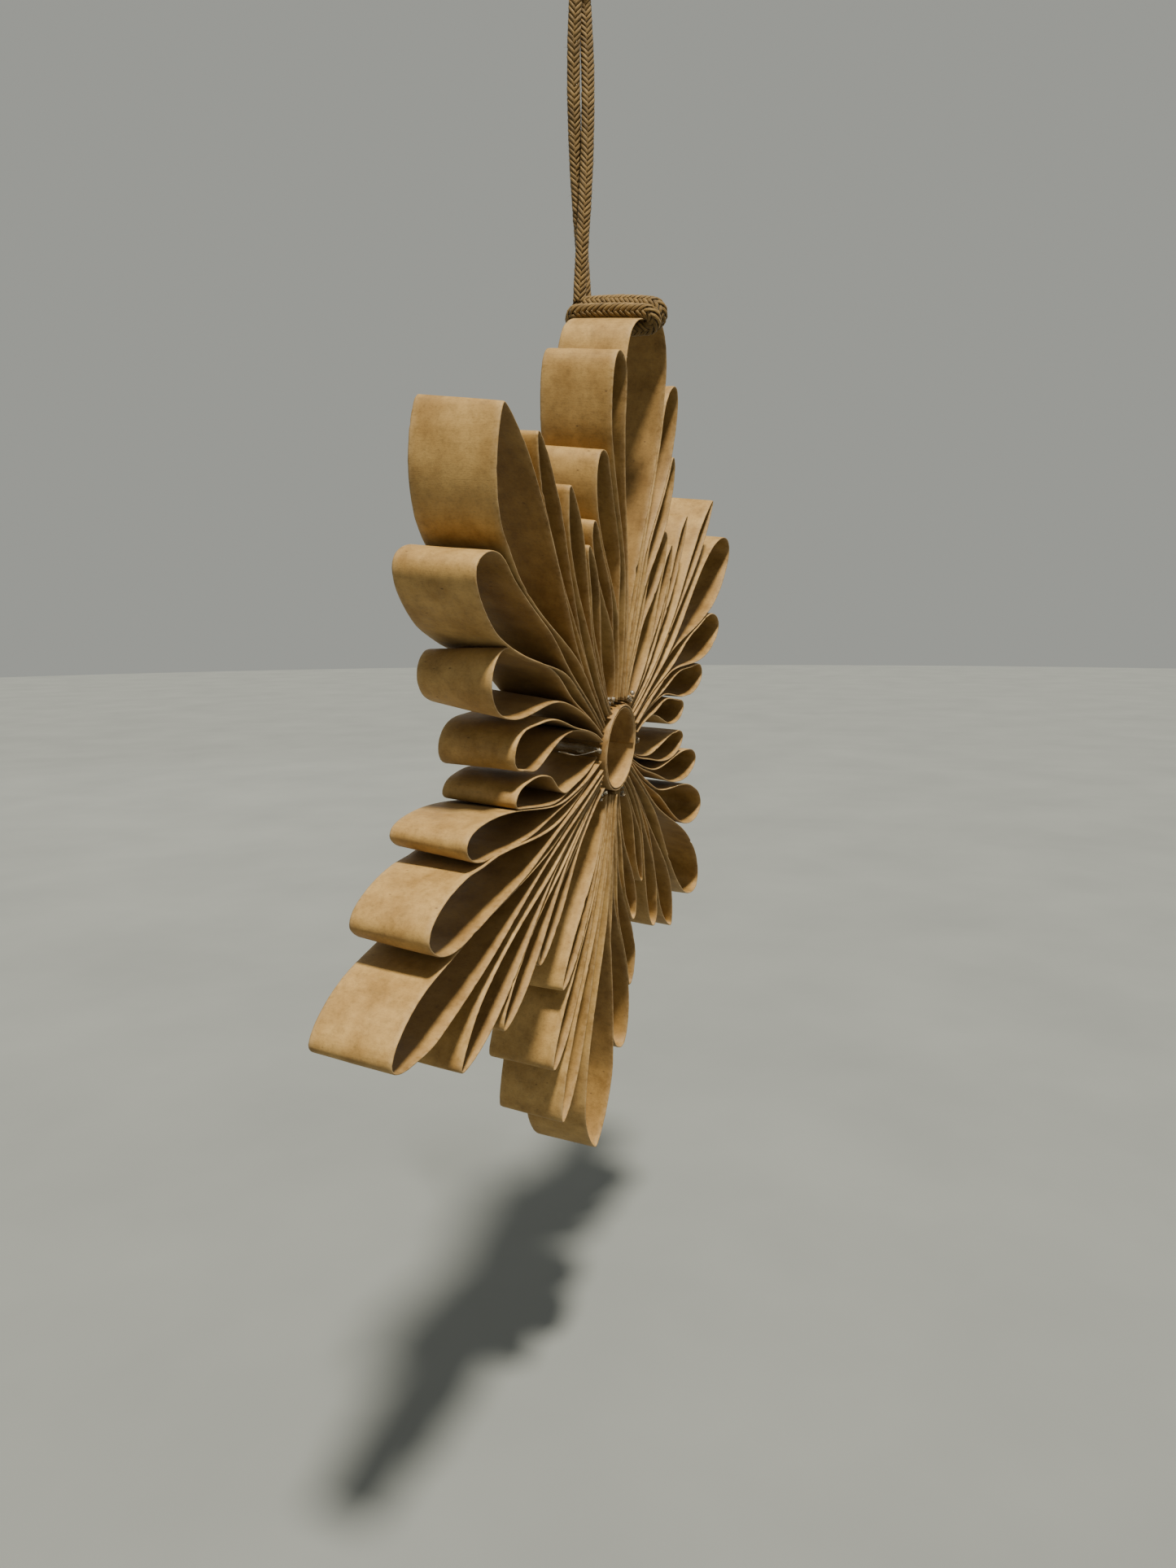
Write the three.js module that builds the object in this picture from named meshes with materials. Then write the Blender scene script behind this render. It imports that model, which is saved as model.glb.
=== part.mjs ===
// Paper snowflake star: six arms of nested card loops glued round a rolled hub ring,
// hung by a doubled braided cord that is hitched over the tip of the top arm.
// Millimetres, +Z up. The star is seen square on from -Y, so its front face looks along -Y.
// The origin is the point where the cord's hanging loop rests on whatever holds it.
import * as THREE from 'three';

// Card strips
const STRIP_WIDTH = 16;
const CARD = 0.4;
const LEG_PITCH = 0.7;
const LEG_CLEARANCE = 0.25;
const MITRE_LIMIT = 0.5;

// Hub: one strip rolled up and glued
const HUB_RADIUS = 10.6;
const HUB_TURNS = 2.25;
const HUB_LAYER = 0.5;
const HUB_STEPS_PER_TURN = 32;
const HUB_SKIN = 0.35;

// Hot-melt glue run into each corner between two arms
const GLUE_RADIUS = 0.8;
const GLUE_LENGTH = 11;
const GLUE_END_STEPS = 3;
const GLUE_SIDES = 8;
const GLUE_FROM_CENTRE = 12.2;

// Braided cord, doubled: hitched over the top arm, then up to a knot and the hanging loop above it.
// The routes run along the middle of the cord. The second strand is the first turned half a turn.
const CORD = 2.9;
const CORD_SIDES = 8;
const STRAND_STEPS = 14;
const STRAND_ROUTE = [
  [1.55, 0, -96.2], [1.46, 0.53, -88], [1.1, 1.1, -79], [0.53, 1.46, -70], [0, 1.55, -62],
  [-0.53, 1.46, -54], [-1.1, 1.1, -46], [-1.46, 0.53, -38], [-1.55, 0, -31.2],
];
const LOOP_STEPS = 22;
const LOOP_ROUTE = [
  [-1.8, 0, -21.4], [-3.4, 0, -16.5], [-5.6, 0, -11], [-6.3, 0, -5.5], [-4.6, 0, -0.6], [0, 0, 1.45],
  [4.6, 0, -0.6], [6.3, 0, -5.5], [5.6, 0, -11], [3.4, 0, -16.5], [1.8, 0, -21.4],
];
const TAIL_STEPS = 5;
const TAIL_ROUTE = [[0.6, 4.9, -26.4], [0.9, 7.4, -27.2], [1, 9.4, -29.2], [0.9, 10.6, -32]];
const KNOT_CENTRE = [0, 0, -26];
const KNOT_RADIUS = 4.4;
const KNOT_STEPS = 12;

// Hitch: both strands wrapped once round the card at the tip of the top arm
const HITCH_Z = -100;
const HITCH_SLACK = 0.5;
const HITCH_PINCH = 0.75;
const HITCH_CORNER_STEPS = 5;
const HITCH_STRAND_Y = STRIP_WIDTH + 0.5;

// The star hangs with its centre of mass under the cord, so it leans in the hitch.
const LEAN_FORWARD = THREE.MathUtils.degToRad(5.15);
const LEAN_SIDEWAYS = THREE.MathUtils.degToRad(2.5);

// Each arm points along `axis`, in degrees anticlockwise from +X as seen from the front.
// A loop is [reach from the centre, degrees away from the axis, width, shape], and shape may give:
// tip: 0.5 is a round end, towards 1 it is creased to a point, under 0.5 it is flattened;
// part: how far out the two legs part, and belly: where they are widest, as fractions of the loop;
// skew: how much of the belly is on the left leg, from -1 to 1.
// Left and right are as seen from the front with that arm turned to point up.
const ROUND_LOOP = { tip: 0.5, part: 0.42, belly: 0.84, skew: 0 };
const ARMS = {
  top: {
    axis: 94,
    centre: [96.5, 0, 27, { tip: 0.38, part: 0.2, belly: 0.88 }],
    left: [[87.5, 13, 13, {}], [69.5, 20, 12.5, {}], [57.5, 27, 8, {}]],
    right: [[86, 14, 13, { part: 0.5 }], [72, 18.5, 12, { part: 0.5 }], [55, 25, 8, { part: 0.5 }]],
  },
  upper_left: {
    axis: 150,
    centre: [100, -9.5, 17, { tip: 0.75, part: 0.3, belly: 0.83, skew: 0.5 }],
    left: [[89, 6, 14, {}], [73, 16, 15, { tip: 0.42 }], [59.5, 28, 10.5, { tip: 0.38 }]],
    right: [[87, 15, 6.5, { tip: 0.8 }], [70.5, 20.5, 7, { tip: 0.85 }], [55, 23.5, 6.5, { tip: 0.8 }]],
  },
  lower_left: {
    axis: 209,
    centre: [108, -4, 11.5, { tip: 0.6, part: 0.3, belly: 0.88 }],
    left: [[91, 8.5, 9.5, { tip: 0.8 }], [76, 15, 8, { tip: 0.65 }], [58, 20, 6, { tip: 0.6 }]],
    right: [[92, 12, 13, { part: 0.35 }], [77, 19.5, 8, { tip: 0.45 }], [58, 21.5, 10, { tip: 0.4 }]],
  },
  bottom: {
    axis: 272,
    centre: [105, 4, 19, { tip: 0.8, part: 0.3 }],
    left: [[86, 16, 14, { tip: 0.55 }], [71, 20.5, 12, { belly: 0.88 }], [52, 25, 6.5, { tip: 0.6 }]],
    right: [[88.5, 12.5, 9, { tip: 0.55 }], [75.5, 20, 7.5, {}], [58.5, 25.5, 6, {}]],
  },
  lower_right: {
    axis: 330,
    centre: [97, 0, 15, { tip: 0.55, part: 0.3 }],
    left: [[84, 13.5, 11, {}], [69, 23, 8, {}], [53, 29, 6.5, {}]],
    right: [[84, 12.5, 9, { tip: 0.8 }], [68, 20.5, 8, {}], [48, 22, 5, { tip: 0.6 }]],
  },
  upper_right: {
    axis: 36,
    centre: [95.5, -2, 16.5, { part: 0.35 }],
    left: [[87, 12, 5.5, { tip: 0.85 }], [69, 21.5, 6, { tip: 0.8 }], [56, 27, 6, { tip: 0.6 }]],
    right: [[82.5, 14, 12, {}], [66.5, 21.5, 10, { tip: 0.45 }], [50, 27, 9.5, {}]],
  },
};

// Points along each half of a loop: where the legs lie together, where they part, and round the tip
const STACKED_STEPS = 4;
const OPENING_STEPS = 6;
const TIP_STEPS = 5;
const LEG_POINTS = STACKED_STEPS + OPENING_STEPS;
// How far out a side loop starts to bend away from its arm's axis, as a fraction of its reach
const BEND_AT = 0.42;

const kraft = new THREE.MeshStandardMaterial({ color: 0xa8845a, roughness: 0.85, metalness: 0 });
const darkKraft = new THREE.MeshStandardMaterial({ color: 0x96744c, roughness: 0.85, metalness: 0 });
const braid = new THREE.MeshStandardMaterial({ color: 0x8d6d42, roughness: 0.95, metalness: 0 });
const hotMelt = new THREE.MeshStandardMaterial({ color: 0xcfc3a8, roughness: 0.35, metalness: 0 });

function mesh(name, geometry, material) {
  const piece = new THREE.Mesh(geometry, material);
  piece.name = name;
  return piece;
}

// A unit vector in the star's face, at an angle in degrees.
function towards(degrees) {
  const angle = THREE.MathUtils.degToRad(degrees);
  return new THREE.Vector2(Math.cos(angle), Math.sin(angle));
}

function leftOf(direction) {
  return new THREE.Vector2(-direction.y, direction.x);
}

// Extrudes an outline drawn in the star's face (x, z) from the front face, y = 0, to the back.
function extrudeStrip(outline) {
  const geometry = new THREE.ExtrudeGeometry(new THREE.Shape(outline), {
    depth: STRIP_WIDTH,
    bevelEnabled: false,
    steps: 1,
  });
  geometry.rotateX(Math.PI / 2);
  geometry.translate(0, STRIP_WIDTH, 0);
  return geometry;
}

// The outline of a card strip whose middle follows `line`, thickened less at the sharpest bends.
function stripOutline(line) {
  const near = [];
  const far = [];
  line.forEach((point, index) => {
    const before = line[Math.max(index - 1, 0)];
    const after = line[Math.min(index + 1, line.length - 1)];
    const into = point.clone().sub(before);
    const out = after.clone().sub(point);
    const first = into.length() > 0 ? into.normalize() : out.clone().normalize();
    const second = out.length() > 0 ? out.normalize() : first;
    const bisector = leftOf(first.clone().add(second).normalize());
    const spread = CARD / 2 / Math.max(bisector.dot(leftOf(first)), MITRE_LIMIT);
    near.push(point.clone().addScaledVector(bisector, spread));
    far.push(point.clone().addScaledVector(bisector, -spread));
  });
  return near.concat(far.reverse());
}

// Moves each point of `line` until it is at least `gap` to the given side of `wall`.
function pressAgainst(line, wall, side, gap) {
  return line.map((point) => {
    let best = null;
    for (let i = 0; i < wall.length - 1; i += 1) {
      const along = wall[i + 1].clone().sub(wall[i]);
      const run = THREE.MathUtils.clamp(point.clone().sub(wall[i]).dot(along) / along.lengthSq(), 0, 1);
      const foot = wall[i].clone().addScaledVector(along, run);
      const distance = foot.distanceTo(point);
      if (!best || distance < best.distance) {
        const pastEnd = i === wall.length - 2 && run === 1;
        best = { foot, distance, pastEnd, normal: leftOf(along.normalize()) };
      }
    }
    const height = point.clone().sub(best.foot).dot(best.normal) * side;
    if (height >= gap || (best.pastEnd && best.distance > gap)) return point;
    return best.foot.clone().addScaledVector(best.normal, side * gap);
  });
}

function smooth(line) {
  return line.map((point, i) => {
    if (i === 0 || i === line.length - 1) return point;
    return point.clone().multiplyScalar(2).add(line[i - 1]).add(line[i + 1]).multiplyScalar(0.25);
  });
}

// One loop as its left and right half, each a line from the hub to the tip: two legs side by side,
// parting into a teardrop. `slot` counts loops from the middle of the arm, positive to the left.
function loopHalves(axis, slot, [reach, aside, width, shape]) {
  const { tip, part, belly, skew } = { ...ROUND_LOOP, ...shape };
  const forward = towards(axis);
  const across = leftOf(forward);
  const offset = slot * 2 * LEG_PITCH;
  const start = Math.sqrt((HUB_RADIUS + HUB_SKIN) ** 2 - offset ** 2) + CARD;
  const base = forward.clone().multiplyScalar(start).addScaledVector(across, offset);
  const bend = forward.clone().multiplyScalar(reach * BEND_AT).addScaledVector(across, offset);
  const end = towards(axis + (slot < 0 ? -aside : aside)).multiplyScalar(reach);
  const middle = new THREE.QuadraticBezierCurve(base, bend, end);
  const half = (sign) => {
    const bulge = (width / 2) * (1 + sign * skew);
    const line = [];
    const place = (along, spread) => {
      const sideways = leftOf(middle.getTangent(along)).multiplyScalar(sign * spread);
      line.push(middle.getPoint(along).add(sideways));
    };
    for (let step = 0; step < STACKED_STEPS; step += 1) {
      place(part * step / STACKED_STEPS, LEG_PITCH / 2);
    }
    for (let step = 0; step < OPENING_STEPS; step += 1) {
      const opening = THREE.MathUtils.smoothstep(step, 0, OPENING_STEPS);
      const along = THREE.MathUtils.lerp(part, belly, step / OPENING_STEPS);
      place(along, THREE.MathUtils.lerp(LEG_PITCH / 2, bulge, opening));
    }
    for (let step = 0; step <= TIP_STEPS; step += 1) {
      const turn = (Math.PI / 2) * (step / TIP_STEPS);
      place(THREE.MathUtils.lerp(belly, 1, Math.sin(turn)), bulge * Math.cos(turn) ** (2 * tip));
    }
    return line;
  };
  return { left: half(1), right: half(-1) };
}

// The whole loop as one line, from the hub out along one leg and back along the other.
function joinHalves(first, second) {
  return first.concat(second.slice(0, -1).reverse());
}

// Each loop is pressed against the one nearer the middle of its arm, as the glued card is.
function buildSide(armName, sideName, axis, loops, firstWall, side) {
  const gap = CARD + LEG_CLEARANCE;
  let wall = firstWall;
  return loops.map((spec, index) => {
    const rank = index + 1;
    const halves = loopHalves(axis, side * rank, spec);
    let inner = side > 0 ? halves.right : halves.left;
    let outer = side > 0 ? halves.left : halves.right;
    inner = pressAgainst(smooth(pressAgainst(inner, wall, side, gap)), wall, side, gap);
    const tip = inner[inner.length - 1];
    outer = pressAgainst(outer, wall, side, gap);
    const leg = pressAgainst(outer.slice(0, LEG_POINTS), inner, side, gap);
    outer = leg.concat(outer.slice(LEG_POINTS, -1), [tip]);
    wall = outer;
    return { name: `${armName}_arm_${sideName}_loop_${rank}`, line: joinHalves(inner, outer) };
  });
}

function buildArm(armName, arm) {
  const centre = loopHalves(arm.axis, 0, arm.centre);
  return [
    { name: `${armName}_arm_centre_loop`, line: joinHalves(centre.right, centre.left) },
    ...buildSide(armName, 'left', arm.axis, arm.left, centre.left, 1),
    ...buildSide(armName, 'right', arm.axis, arm.right, centre.right, -1),
  ];
}

function hubRing() {
  const line = [];
  const steps = HUB_TURNS * HUB_STEPS_PER_TURN;
  for (let step = 0; step <= steps; step += 1) {
    const turns = step / HUB_STEPS_PER_TURN;
    const radius = HUB_RADIUS - CARD / 2 - (HUB_TURNS - turns) * HUB_LAYER;
    line.push(towards(turns * 360).multiplyScalar(radius));
  }
  return mesh('hub_ring', extrudeStrip(stripOutline(line)), darkKraft);
}

function glueBeads() {
  const axes = Object.values(ARMS).map((arm) => arm.axis).sort((a, b) => a - b);
  return axes.map((axis, index) => {
    const next = index === axes.length - 1 ? axes[0] + 360 : axes[index + 1];
    const corner = towards((axis + next) / 2).multiplyScalar(GLUE_FROM_CENTRE);
    const run = new THREE.CapsuleGeometry(GLUE_RADIUS, GLUE_LENGTH, GLUE_END_STEPS, GLUE_SIDES);
    const bead = mesh(`glue_bead_${index + 1}`, run, hotMelt);
    bead.position.set(corner.x, STRIP_WIDTH / 2, corner.y);
    return bead;
  });
}

function cordAlong(name, route, steps) {
  const section = new THREE.Shape();
  for (let side = 0; side < CORD_SIDES; side += 1) {
    const corner = towards(360 * side / CORD_SIDES).multiplyScalar(CORD / 2);
    if (side === 0) section.moveTo(corner.x, corner.y);
    else section.lineTo(corner.x, corner.y);
  }
  const extrudePath = new THREE.CatmullRomCurve3(route.map((point) => new THREE.Vector3(...point)));
  return mesh(name, new THREE.ExtrudeGeometry(section, { steps, extrudePath }), braid);
}

function halfTurn(route) {
  return route.map(([x, y, z]) => [-x, -y, z]);
}

// A rounded rectangle about the middle of the card's edge, as seen from the side of the star.
function roundedRectangle(path, front, back, halfHeight, corner) {
  path.moveTo(front + corner, -halfHeight);
  path.lineTo(back - corner, -halfHeight);
  path.absarc(back - corner, -halfHeight + corner, corner, -Math.PI / 2, 0);
  path.lineTo(back, halfHeight - corner);
  path.absarc(back - corner, halfHeight - corner, corner, 0, Math.PI / 2);
  path.lineTo(front + corner, halfHeight);
  path.absarc(front + corner, halfHeight - corner, corner, Math.PI / 2, Math.PI);
  path.lineTo(front, -halfHeight + corner);
  path.absarc(front + corner, -halfHeight + corner, corner, Math.PI, 1.5 * Math.PI);
  return path;
}

// The hitch is a flat wrap of two strands, extruded across the card along X.
function cordHitch(cardTip) {
  const front = -HITCH_SLACK;
  const back = STRIP_WIDTH + HITCH_SLACK;
  const outer = roundedRectangle(new THREE.Shape(), front - CORD, back + CORD, HITCH_PINCH + CORD, CORD);
  outer.holes.push(roundedRectangle(new THREE.Path(), front, back, HITCH_PINCH, HITCH_PINCH / 2));
  const wrap = new THREE.ExtrudeGeometry(outer, {
    depth: 2 * CORD,
    bevelEnabled: false,
    steps: 1,
    curveSegments: HITCH_CORNER_STEPS,
  });
  wrap.rotateX(Math.PI / 2);
  wrap.rotateZ(Math.PI / 2);
  wrap.translate(cardTip.x - CORD, 0, cardTip.y);
  return mesh('cord_hitch', wrap, braid);
}

const star = new THREE.Group();
for (const [armName, arm] of Object.entries(ARMS)) {
  for (const loop of buildArm(armName, arm)) {
    const material = loop.name.includes('centre') ? darkKraft : kraft;
    star.add(mesh(loop.name, extrudeStrip(stripOutline(loop.line)), material));
  }
}
star.add(hubRing());
glueBeads().forEach((bead) => star.add(bead));
const cardTip = towards(ARMS.top.axis).multiplyScalar(ARMS.top.centre[0]);
star.add(cordHitch(cardTip));

// The strands rise from the hitch at the back edge of the card, so the star hangs from there.
star.rotation.set(LEAN_FORWARD, LEAN_SIDEWAYS, 0);
const strandFoot = new THREE.Vector3(cardTip.x, HITCH_STRAND_Y, cardTip.y).applyEuler(star.rotation);
star.position.set(-strandFoot.x, -strandFoot.y, HITCH_Z - strandFoot.z);

const knot = mesh('cord_knot', new THREE.SphereGeometry(KNOT_RADIUS, KNOT_STEPS, KNOT_STEPS), braid);
knot.position.set(...KNOT_CENTRE);

const ornament = new THREE.Group();
ornament.add(star);
ornament.add(cordAlong('cord_strand_left', STRAND_ROUTE, STRAND_STEPS));
ornament.add(cordAlong('cord_strand_right', halfTurn(STRAND_ROUTE), STRAND_STEPS));
ornament.add(knot);
ornament.add(cordAlong('cord_tail_front', halfTurn(TAIL_ROUTE), TAIL_STEPS));
ornament.add(cordAlong('cord_tail_back', TAIL_ROUTE, TAIL_STEPS));
ornament.add(cordAlong('hanging_loop', LOOP_ROUTE, LOOP_STEPS));

export default ornament;
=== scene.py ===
"""Paper snowflake star: kraft card loops glued round a rolled hub, hung by a doubled braided cord.

Metres, Z up. The star's front faces -Y. Points in the star's own face are (x, z) from the middle of
the hub, with y running from the front edge of the card to the back.
"""
import math
import random

import bmesh
import bpy
import numpy as np
from mathutils import Matrix, Vector, noise


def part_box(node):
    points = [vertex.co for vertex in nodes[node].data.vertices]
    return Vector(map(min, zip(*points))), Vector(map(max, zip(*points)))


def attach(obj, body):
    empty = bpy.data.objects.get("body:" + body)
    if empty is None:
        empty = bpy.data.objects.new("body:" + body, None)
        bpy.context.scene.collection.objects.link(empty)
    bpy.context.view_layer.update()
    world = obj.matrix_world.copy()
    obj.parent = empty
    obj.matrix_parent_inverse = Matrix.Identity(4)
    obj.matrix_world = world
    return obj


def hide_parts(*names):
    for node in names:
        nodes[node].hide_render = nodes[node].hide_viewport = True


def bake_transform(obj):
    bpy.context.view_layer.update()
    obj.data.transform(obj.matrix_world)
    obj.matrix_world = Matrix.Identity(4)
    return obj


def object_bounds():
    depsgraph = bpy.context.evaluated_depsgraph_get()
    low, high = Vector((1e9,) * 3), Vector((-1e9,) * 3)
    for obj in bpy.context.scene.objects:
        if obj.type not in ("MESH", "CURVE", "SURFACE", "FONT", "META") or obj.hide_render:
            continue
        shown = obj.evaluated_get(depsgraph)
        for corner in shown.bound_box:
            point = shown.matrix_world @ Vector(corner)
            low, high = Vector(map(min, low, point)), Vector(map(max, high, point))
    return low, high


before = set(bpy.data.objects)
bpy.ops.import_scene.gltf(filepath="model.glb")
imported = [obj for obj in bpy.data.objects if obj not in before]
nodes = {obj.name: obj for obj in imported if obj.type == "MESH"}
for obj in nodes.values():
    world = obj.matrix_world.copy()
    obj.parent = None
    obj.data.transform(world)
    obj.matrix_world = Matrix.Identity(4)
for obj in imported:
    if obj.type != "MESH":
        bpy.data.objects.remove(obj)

cad_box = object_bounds()

MM = 0.001

# How the star hangs in its hitch
LEAN_FORWARD = math.radians(5.15)
LEAN_SIDEWAYS = math.radians(2.5)

# Card: its thickness in the CAD, and as drawn here, thinner, as the photo's edges look
STRIP_WIDTH = 16 * MM
CARD = 0.4 * MM
CARD_SEEN = 0.33 * MM

# Camera: its turn is in degrees, and its lens is for this sensor along the frame's long side
CAMERA_PLACE = (-0.2491, -0.0978, -0.1655)
CAMERA_TURN = (81.33, 0.43, -68.72)
LENS = 26.3
SENSOR = 36

# Cord: its routes are in mm, and its lengths count the runs into the knot. The strands' V columns
# look TO_CAMERA.
KNOT_CENTRE = Vector((0, 0, -26 * MM))
KNOT_ENTRY = 2.9 * MM
HITCH_ENTRY = 2.4 * MM
STRAND_ROUTE = [
    (1.55, 0, -96.2), (1.46, 0.53, -88), (1.1, 1.1, -79), (0.53, 1.46, -70), (0, 1.55, -62),
    (-0.53, 1.46, -54), (-1.1, 1.1, -46), (-1.46, 0.53, -38), (-1.55, 0, -31.2),
]
LOOP_ROUTE = [
    (-1.8, 0, -21.4), (-3.4, 0, -16.5), (-5.6, 0, -11), (-6.3, 0, -5.5), (-4.6, 0, -0.6),
    (0, 0, 1.45),
    (4.6, 0, -0.6), (6.3, 0, -5.5), (5.6, 0, -11), (3.4, 0, -16.5), (1.8, 0, -21.4),
]
TAIL_ROUTE = [(0.6, 4.9, -26.4), (0.9, 7.4, -27.2), (1, 9.4, -29.2), (0.9, 10.6, -32)]
TAIL_FRAY = 1.6 * MM
TO_CAMERA = (-0.93, -0.365, 0)

# Braid: two sets of yarns wound opposite ways, each over the other for a quarter of a turn
YARNS_EACH_WAY = 8
BRAID_PITCH = 9.5 * MM
BRAID_STEP = 0.55 * MM
YARN_ORBIT = 1.14 * MM
YARN_WEAVE = 0.2 * MM
YARN_THICK = 0.2 * MM
YARN_WIDE = 0.37 * MM
YARN_SIDES = 7
YARN_PLUMPNESS = (0.86, 1.14)
YARN_UNEVEN = 0.09 * MM
UNEVEN_PER_METRE = 190
CROSSING_SHARPNESS = 2.2
FRAY_START = 0.62
FRAY_SPLAY = (0.3, 1.0)

# Loose fibres on the cord, none of them within HAIR_MARGIN points of its ends. How far they reach,
# slant and swing is in mm.
HAIRS_PER_METRE = 1900
HAIR_MARGIN = 6
HAIR_THICK = 0.024 * MM
HAIR_REACH = (0.3, 1.1)
HAIR_SLANT = 1.6
HAIR_SWING = 0.8
HAIR_SIDES = 3
HAIR_STEPS = 5

# Turns a place in metres into one in mm, which the noise in the materials is set for
IN_MM = (1000, 1000, 1000)


# ---------------------------------------------------------------- camera

def add_camera():
    data = bpy.data.cameras.new("camera")
    data.lens = LENS
    data.sensor_width = SENSOR
    camera = bpy.data.objects.new("camera", data)
    camera.location = CAMERA_PLACE
    camera.rotation_euler = [math.radians(angle) for angle in CAMERA_TURN]
    bpy.context.scene.collection.objects.link(camera)
    bpy.context.scene.camera = camera


# ---------------------------------------------------------------- curves and meshes

CURVE_SAMPLES = 24


def curve_through(points, step):
    """Points about `step` apart on a smooth curve through `points`."""
    points = np.array(points, float)
    padded = np.vstack([2 * points[0] - points[1], points, 2 * points[-1] - points[-2]])
    fine = []
    for before, start, end, after in zip(padded, padded[1:], padded[2:], padded[3:]):
        for t in np.linspace(0, 1, CURVE_SAMPLES, endpoint=False):
            fine.append(0.5 * (
                2 * start + (end - before) * t + (2 * before - 5 * start + 4 * end - after) * t ** 2
                + (3 * start - before - 3 * end + after) * t ** 3))
    fine.append(points[-1])
    return evenly(np.array(fine), step)


def distances(line):
    """How far along the line each of its points is."""
    return np.concatenate([[0], np.cumsum(np.linalg.norm(np.diff(line, axis=0), axis=1))])


def evenly(line, step):
    """The same line with its points about `step` apart."""
    along = distances(line)
    stations = np.linspace(0, along[-1], max(int(round(along[-1] / step)), 2) + 1)
    columns = [np.interp(stations, along, column) for column in line.T]
    return np.stack(columns, axis=1)


def relaxed(line, rounds):
    """The same line with its corners eased, its two ends kept."""
    line = line.copy()
    for _ in range(rounds):
        line[1:-1] = 0.5 * line[1:-1] + 0.25 * (line[:-2] + line[2:])
    return line


def run_on(line, length):
    """The line run straight on past its end."""
    after = line[-1] + unit(line[-1] - line[-2]) * length
    return np.vstack([line, evenly(np.array([line[-1], after]), BRAID_STEP)[1:]])


def unit(vectors):
    return vectors / np.linalg.norm(vectors, axis=-1, keepdims=True)


def flat_normals(line):
    """Tangents and normals of a line in the star's face, as (x, z)."""
    tangents = unit(np.gradient(line, axis=0))
    return tangents, np.stack([-tangents[:, 1], tangents[:, 0]], axis=1)


def frames_along(line, facing):
    """Tangents of a line in space, and two directions square to them carried along without twist."""
    tangents = unit(np.gradient(line, axis=0))
    firsts = []
    first = np.array(facing, float)
    for tangent in tangents:
        first = first - tangent * first.dot(tangent)
        first /= np.linalg.norm(first)
        firsts.append(first)
    firsts = np.array(firsts)
    return tangents, firsts, np.cross(tangents, firsts)


def new_piece(name, vertices, faces, material, places=None, wear_and_shade=None, shade=None):
    """A smooth mesh object, with what its material reads at each vertex.

    `places` is its place on its strip or yarn. The list after it is how worn a strip's edge is, or how
    raised a yarn is, which the cord's material turns into painted shade where the yarn lies low; the
    last list is how much painted shade a strip gets on its inner face and near its glued ends.
    """
    mesh = bpy.data.meshes.new(name)
    mesh.from_pydata([tuple(v) for v in vertices], [], faces)
    mesh.update()
    mesh.materials.append(material)
    mesh.polygons.foreach_set("use_smooth", [True] * len(mesh.polygons))
    for label, kind, field, values in (
            ("place", "FLOAT_VECTOR", "vector", places),
            ("wear_and_shade", "FLOAT", "value", wear_and_shade),
            ("shade", "FLOAT", "value", shade)):
        if values is not None:
            attribute = mesh.attributes.new(label, kind, "POINT")
            attribute.data.foreach_set(field, np.array(values, np.float32).ravel())
    piece = bpy.data.objects.new(name, mesh)
    bpy.context.scene.collection.objects.link(piece)
    return piece


def tube_faces(rings, sides, first=0, closed=False):
    """Quads between rings of vertices, with a cap at each end unless the rings close on themselves."""
    faces = []
    for ring in range(rings if closed else rings - 1):
        here = first + ring * sides
        there = first + (ring + 1) % rings * sides
        for side in range(sides):
            after = (side + 1) % sides
            faces.append((here + side, here + after, there + after, there + side))
    if not closed:
        faces.append(tuple(first + side for side in reversed(range(sides))))
        faces.append(tuple(first + (rings - 1) * sides + side for side in range(sides)))
    return faces


# ---------------------------------------------------------------- materials

def material_nodes(name):
    """A new material with its node tree and its main shader."""
    material = bpy.data.materials.new(name)
    material.use_nodes = True
    tree = material.node_tree
    tree.nodes.clear()
    output = tree.nodes.new("ShaderNodeOutputMaterial")
    shader = tree.nodes.new("ShaderNodeBsdfPrincipled")
    tree.links.new(shader.outputs["BSDF"], output.inputs["Surface"])
    return material, tree, shader


def attribute_node(tree, name, output):
    """The vertex attribute that new_piece stored under this name."""
    node = tree.nodes.new("ShaderNodeAttribute")
    node.attribute_name = name
    return node.outputs[output]


def scaled(tree, vector, scale):
    node = tree.nodes.new("ShaderNodeMapping")
    node.inputs["Scale"].default_value = scale
    tree.links.new(vector, node.inputs["Vector"])
    return node.outputs["Vector"]


def noise_node(tree, vector, scale, detail=3.0, roughness=0.55):
    node = tree.nodes.new("ShaderNodeTexNoise")
    node.inputs["Scale"].default_value = scale
    node.inputs["Detail"].default_value = detail
    node.inputs["Roughness"].default_value = roughness
    tree.links.new(vector, node.inputs["Vector"])
    return node.outputs["Fac"]


def ramp(tree, value, stops):
    """A colour ramp; each stop is (position, colour), with a grey given as one number."""
    node = tree.nodes.new("ShaderNodeValToRGB")
    elements = node.color_ramp.elements
    while len(elements) < len(stops):
        elements.new(0.5)
    for element, (position, colour) in zip(elements, stops):
        element.position = position
        element.color = (colour, colour, colour, 1) if isinstance(colour, float) else (*colour, 1)
    tree.links.new(value, node.inputs["Fac"])
    return node.outputs["Color"]


def mix(tree, factor, first, second, blend="MIX"):
    node = tree.nodes.new("ShaderNodeMix")
    node.data_type = "RGBA"
    node.blend_type = blend
    colour_a, colour_b = [s for s in node.inputs if s.type == "RGBA"]
    if isinstance(factor, (int, float)):
        node.inputs[0].default_value = factor
    else:
        tree.links.new(factor, node.inputs[0])
    for socket, value in ((colour_a, first), (colour_b, second)):
        if isinstance(value, tuple):
            socket.default_value = (*value, 1)
        else:
            tree.links.new(value, socket)
    return [s for s in node.outputs if s.type == "RGBA"][0]


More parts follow.
